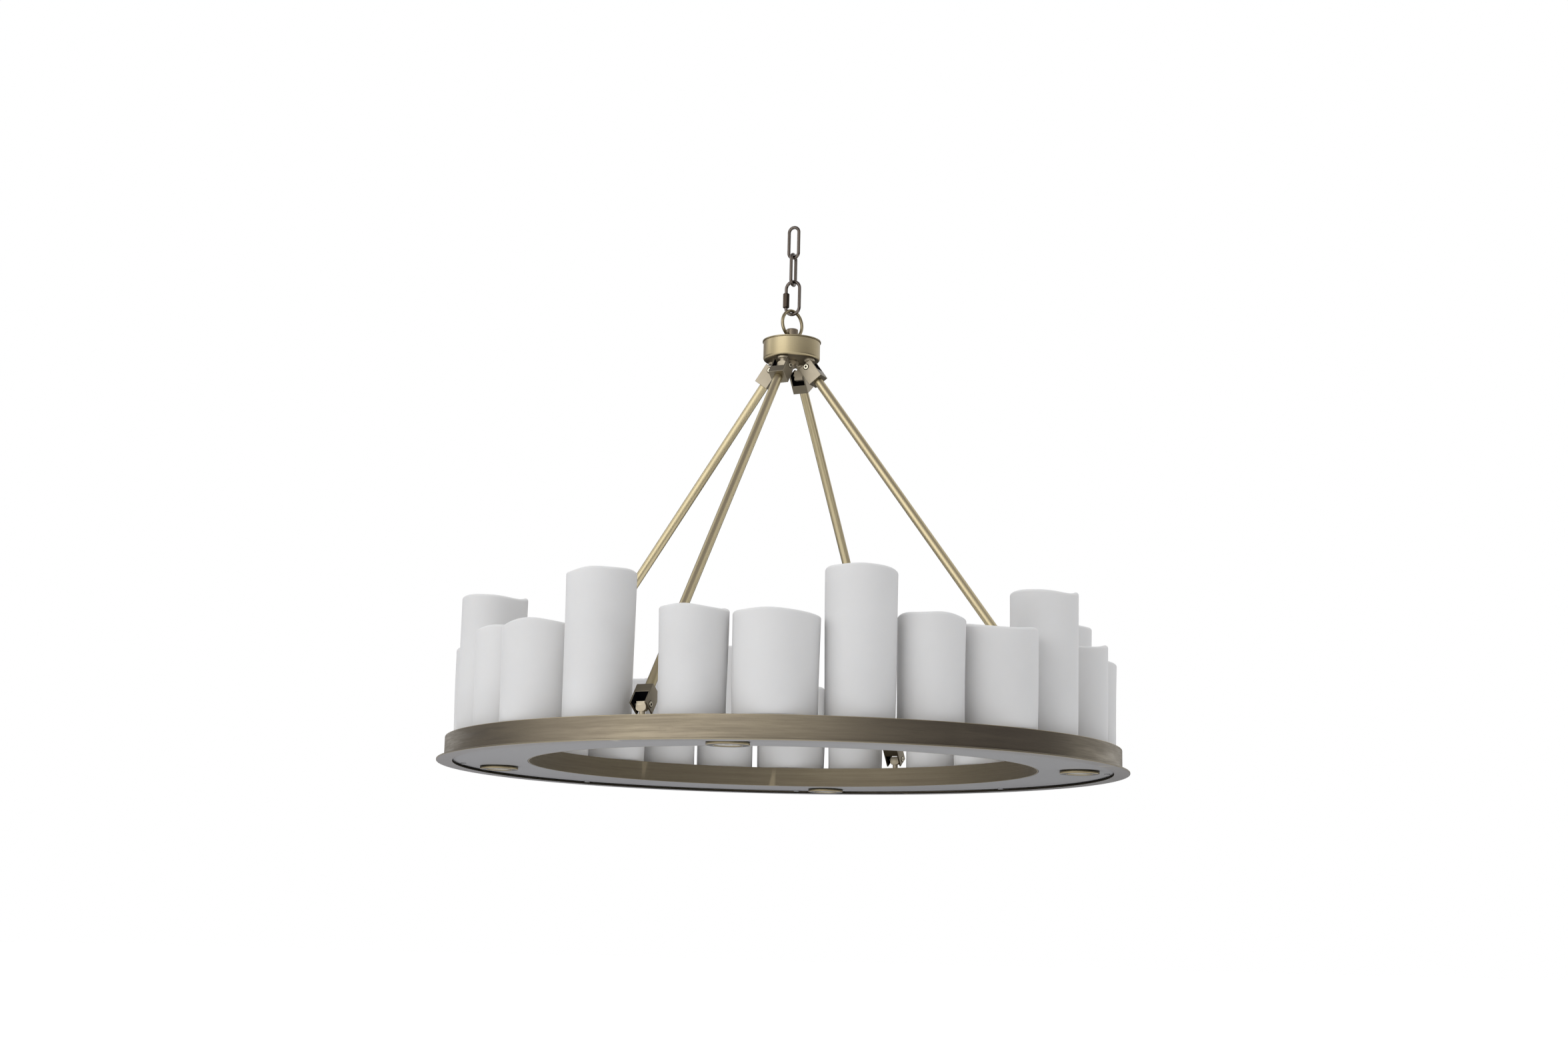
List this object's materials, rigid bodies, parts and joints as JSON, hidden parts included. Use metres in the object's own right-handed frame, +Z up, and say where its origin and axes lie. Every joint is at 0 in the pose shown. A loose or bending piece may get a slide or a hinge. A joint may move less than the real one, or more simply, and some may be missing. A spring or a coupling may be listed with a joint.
{
  "type": "chandelier",
  "caption": "Round brass chandelier on a short chain: forked tube rods carry a ring tray with opal candle-shaped glass shades above and low round downlights below.",
  "frame": {"origin": "where the ceiling hook bears on the inside of the top chain link", "axes": "+Z up along the chain; +X from the middle axis towards the first rod"},
  "size_m": [0.8999, 0.9, 0.7479],
  "materials": {
    "chain_bronze": "darkened, satin",
    "brushed_brass": "brushed, antique lacquer",
    "polished_brass": "turned, satin to bright",
    "tray_bronze": "brushed around the ring, darker antique lacquer",
    "panel_paint": "matt grey paint",
    "zinc_steel": "zinc plated",
    "opal_glass": "matt opal white",
    "lens_glass": "frosted",
    "lamp_glass": "frosted",
    "holder_white": "white, glossy",
    "terminal_white": "plain",
    "module_aluminium": "plain"
  },
  "bodies": {
    "top_link": {"chain_link_top": "chain_bronze"},
    "lower_link": {"chain_link_lower": "chain_bronze"},
    "quick_link_frame": {"quick_link": "chain_bronze"},
    "sleeve_nut": {"quick_link_sleeve": "chain_bronze"},
    "suspension_ring": {"hanger_ring": "polished_brass"},
    "chandelier": {"bottom_flange": "tray_bronze", "bottom_panel": "panel_paint", "cable_gland": "polished_brass", "downlight_bezels": "polished_brass", "downlight_lenses": "lens_glass", "hanger_boss": "polished_brass", "holder_nuts": "zinc_steel", "hub_cup": "brushed_brass", "hub_lid": "brushed_brass", "hub_nut": "polished_brass", "inner_band": "tray_bronze", "knuckle_nuts": "zinc_steel", "lamp_holders": "holder_white", "lamps": "lamp_glass", "light_modules": "module_aluminium", "lower_forks": "brushed_brass", "lower_knuckles": "polished_brass", "outer_band": "tray_bronze", "panel_posts": "zinc_steel", "panel_screws": "zinc_steel", "pivot_screws": "polished_brass", "rod_1": "brushed_brass", "rod_2": "brushed_brass", "rod_3": "brushed_brass", "rod_4": "brushed_brass", "shade_narrow_01": "opal_glass", "shade_narrow_04": "opal_glass", "shade_narrow_07": "opal_glass", "shade_narrow_10": "opal_glass", "shade_narrow_13": "opal_glass", "shade_narrow_16": "opal_glass", "shade_narrow_19": "opal_glass", "shade_narrow_22": "opal_glass", "shade_tall_03": "opal_glass", "shade_tall_06": "opal_glass", "shade_tall_09": "opal_glass", "shade_tall_12": "opal_glass", "shade_tall_15": "opal_glass", "shade_tall_18": "opal_glass", "shade_tall_21": "opal_glass", "shade_tall_24": "opal_glass", "shade_wide_02": "opal_glass", "shade_wide_05": "opal_glass", "shade_wide_08": "opal_glass", "shade_wide_11": "opal_glass", "shade_wide_14": "opal_glass", "shade_wide_17": "opal_glass", "shade_wide_20": "opal_glass", "shade_wide_23": "opal_glass", "terminal_block": "terminal_white", "top_plate": "tray_bronze", "upper_forks": "brushed_brass", "upper_knuckles": "polished_brass"}
  },
  "joints": [
    {"name": "lower_link_swing", "type": "hinge", "parent": "top_link", "child": "lower_link", "pos_m": [0, 0, -0.04125], "axis": [1, 0, 0], "range_deg": [-75, 75]},
    {"name": "quick_link_swing", "type": "hinge", "parent": "lower_link", "child": "quick_link_frame", "pos_m": [0, 0, -0.07995], "axis": [0, 1, 0], "range_deg": [-75, 75]},
    {"name": "sleeve_travel", "type": "slide", "parent": "quick_link_frame", "child": "sleeve_nut", "axis": [0, 0, 1], "range_m": [0, 0.0056]},
    {"name": "ring_swing", "type": "hinge", "parent": "quick_link_frame", "child": "suspension_ring", "pos_m": [0, 0, -0.12165], "axis": [1, 0, 0], "range_deg": [-55, 55]},
    {"name": "chandelier_swing", "type": "hinge", "parent": "suspension_ring", "child": "chandelier", "pos_m": [0, 0, -0.15272], "axis": [0.342, 0.9397, 0], "range_deg": [-60, 60]}
  ]
}
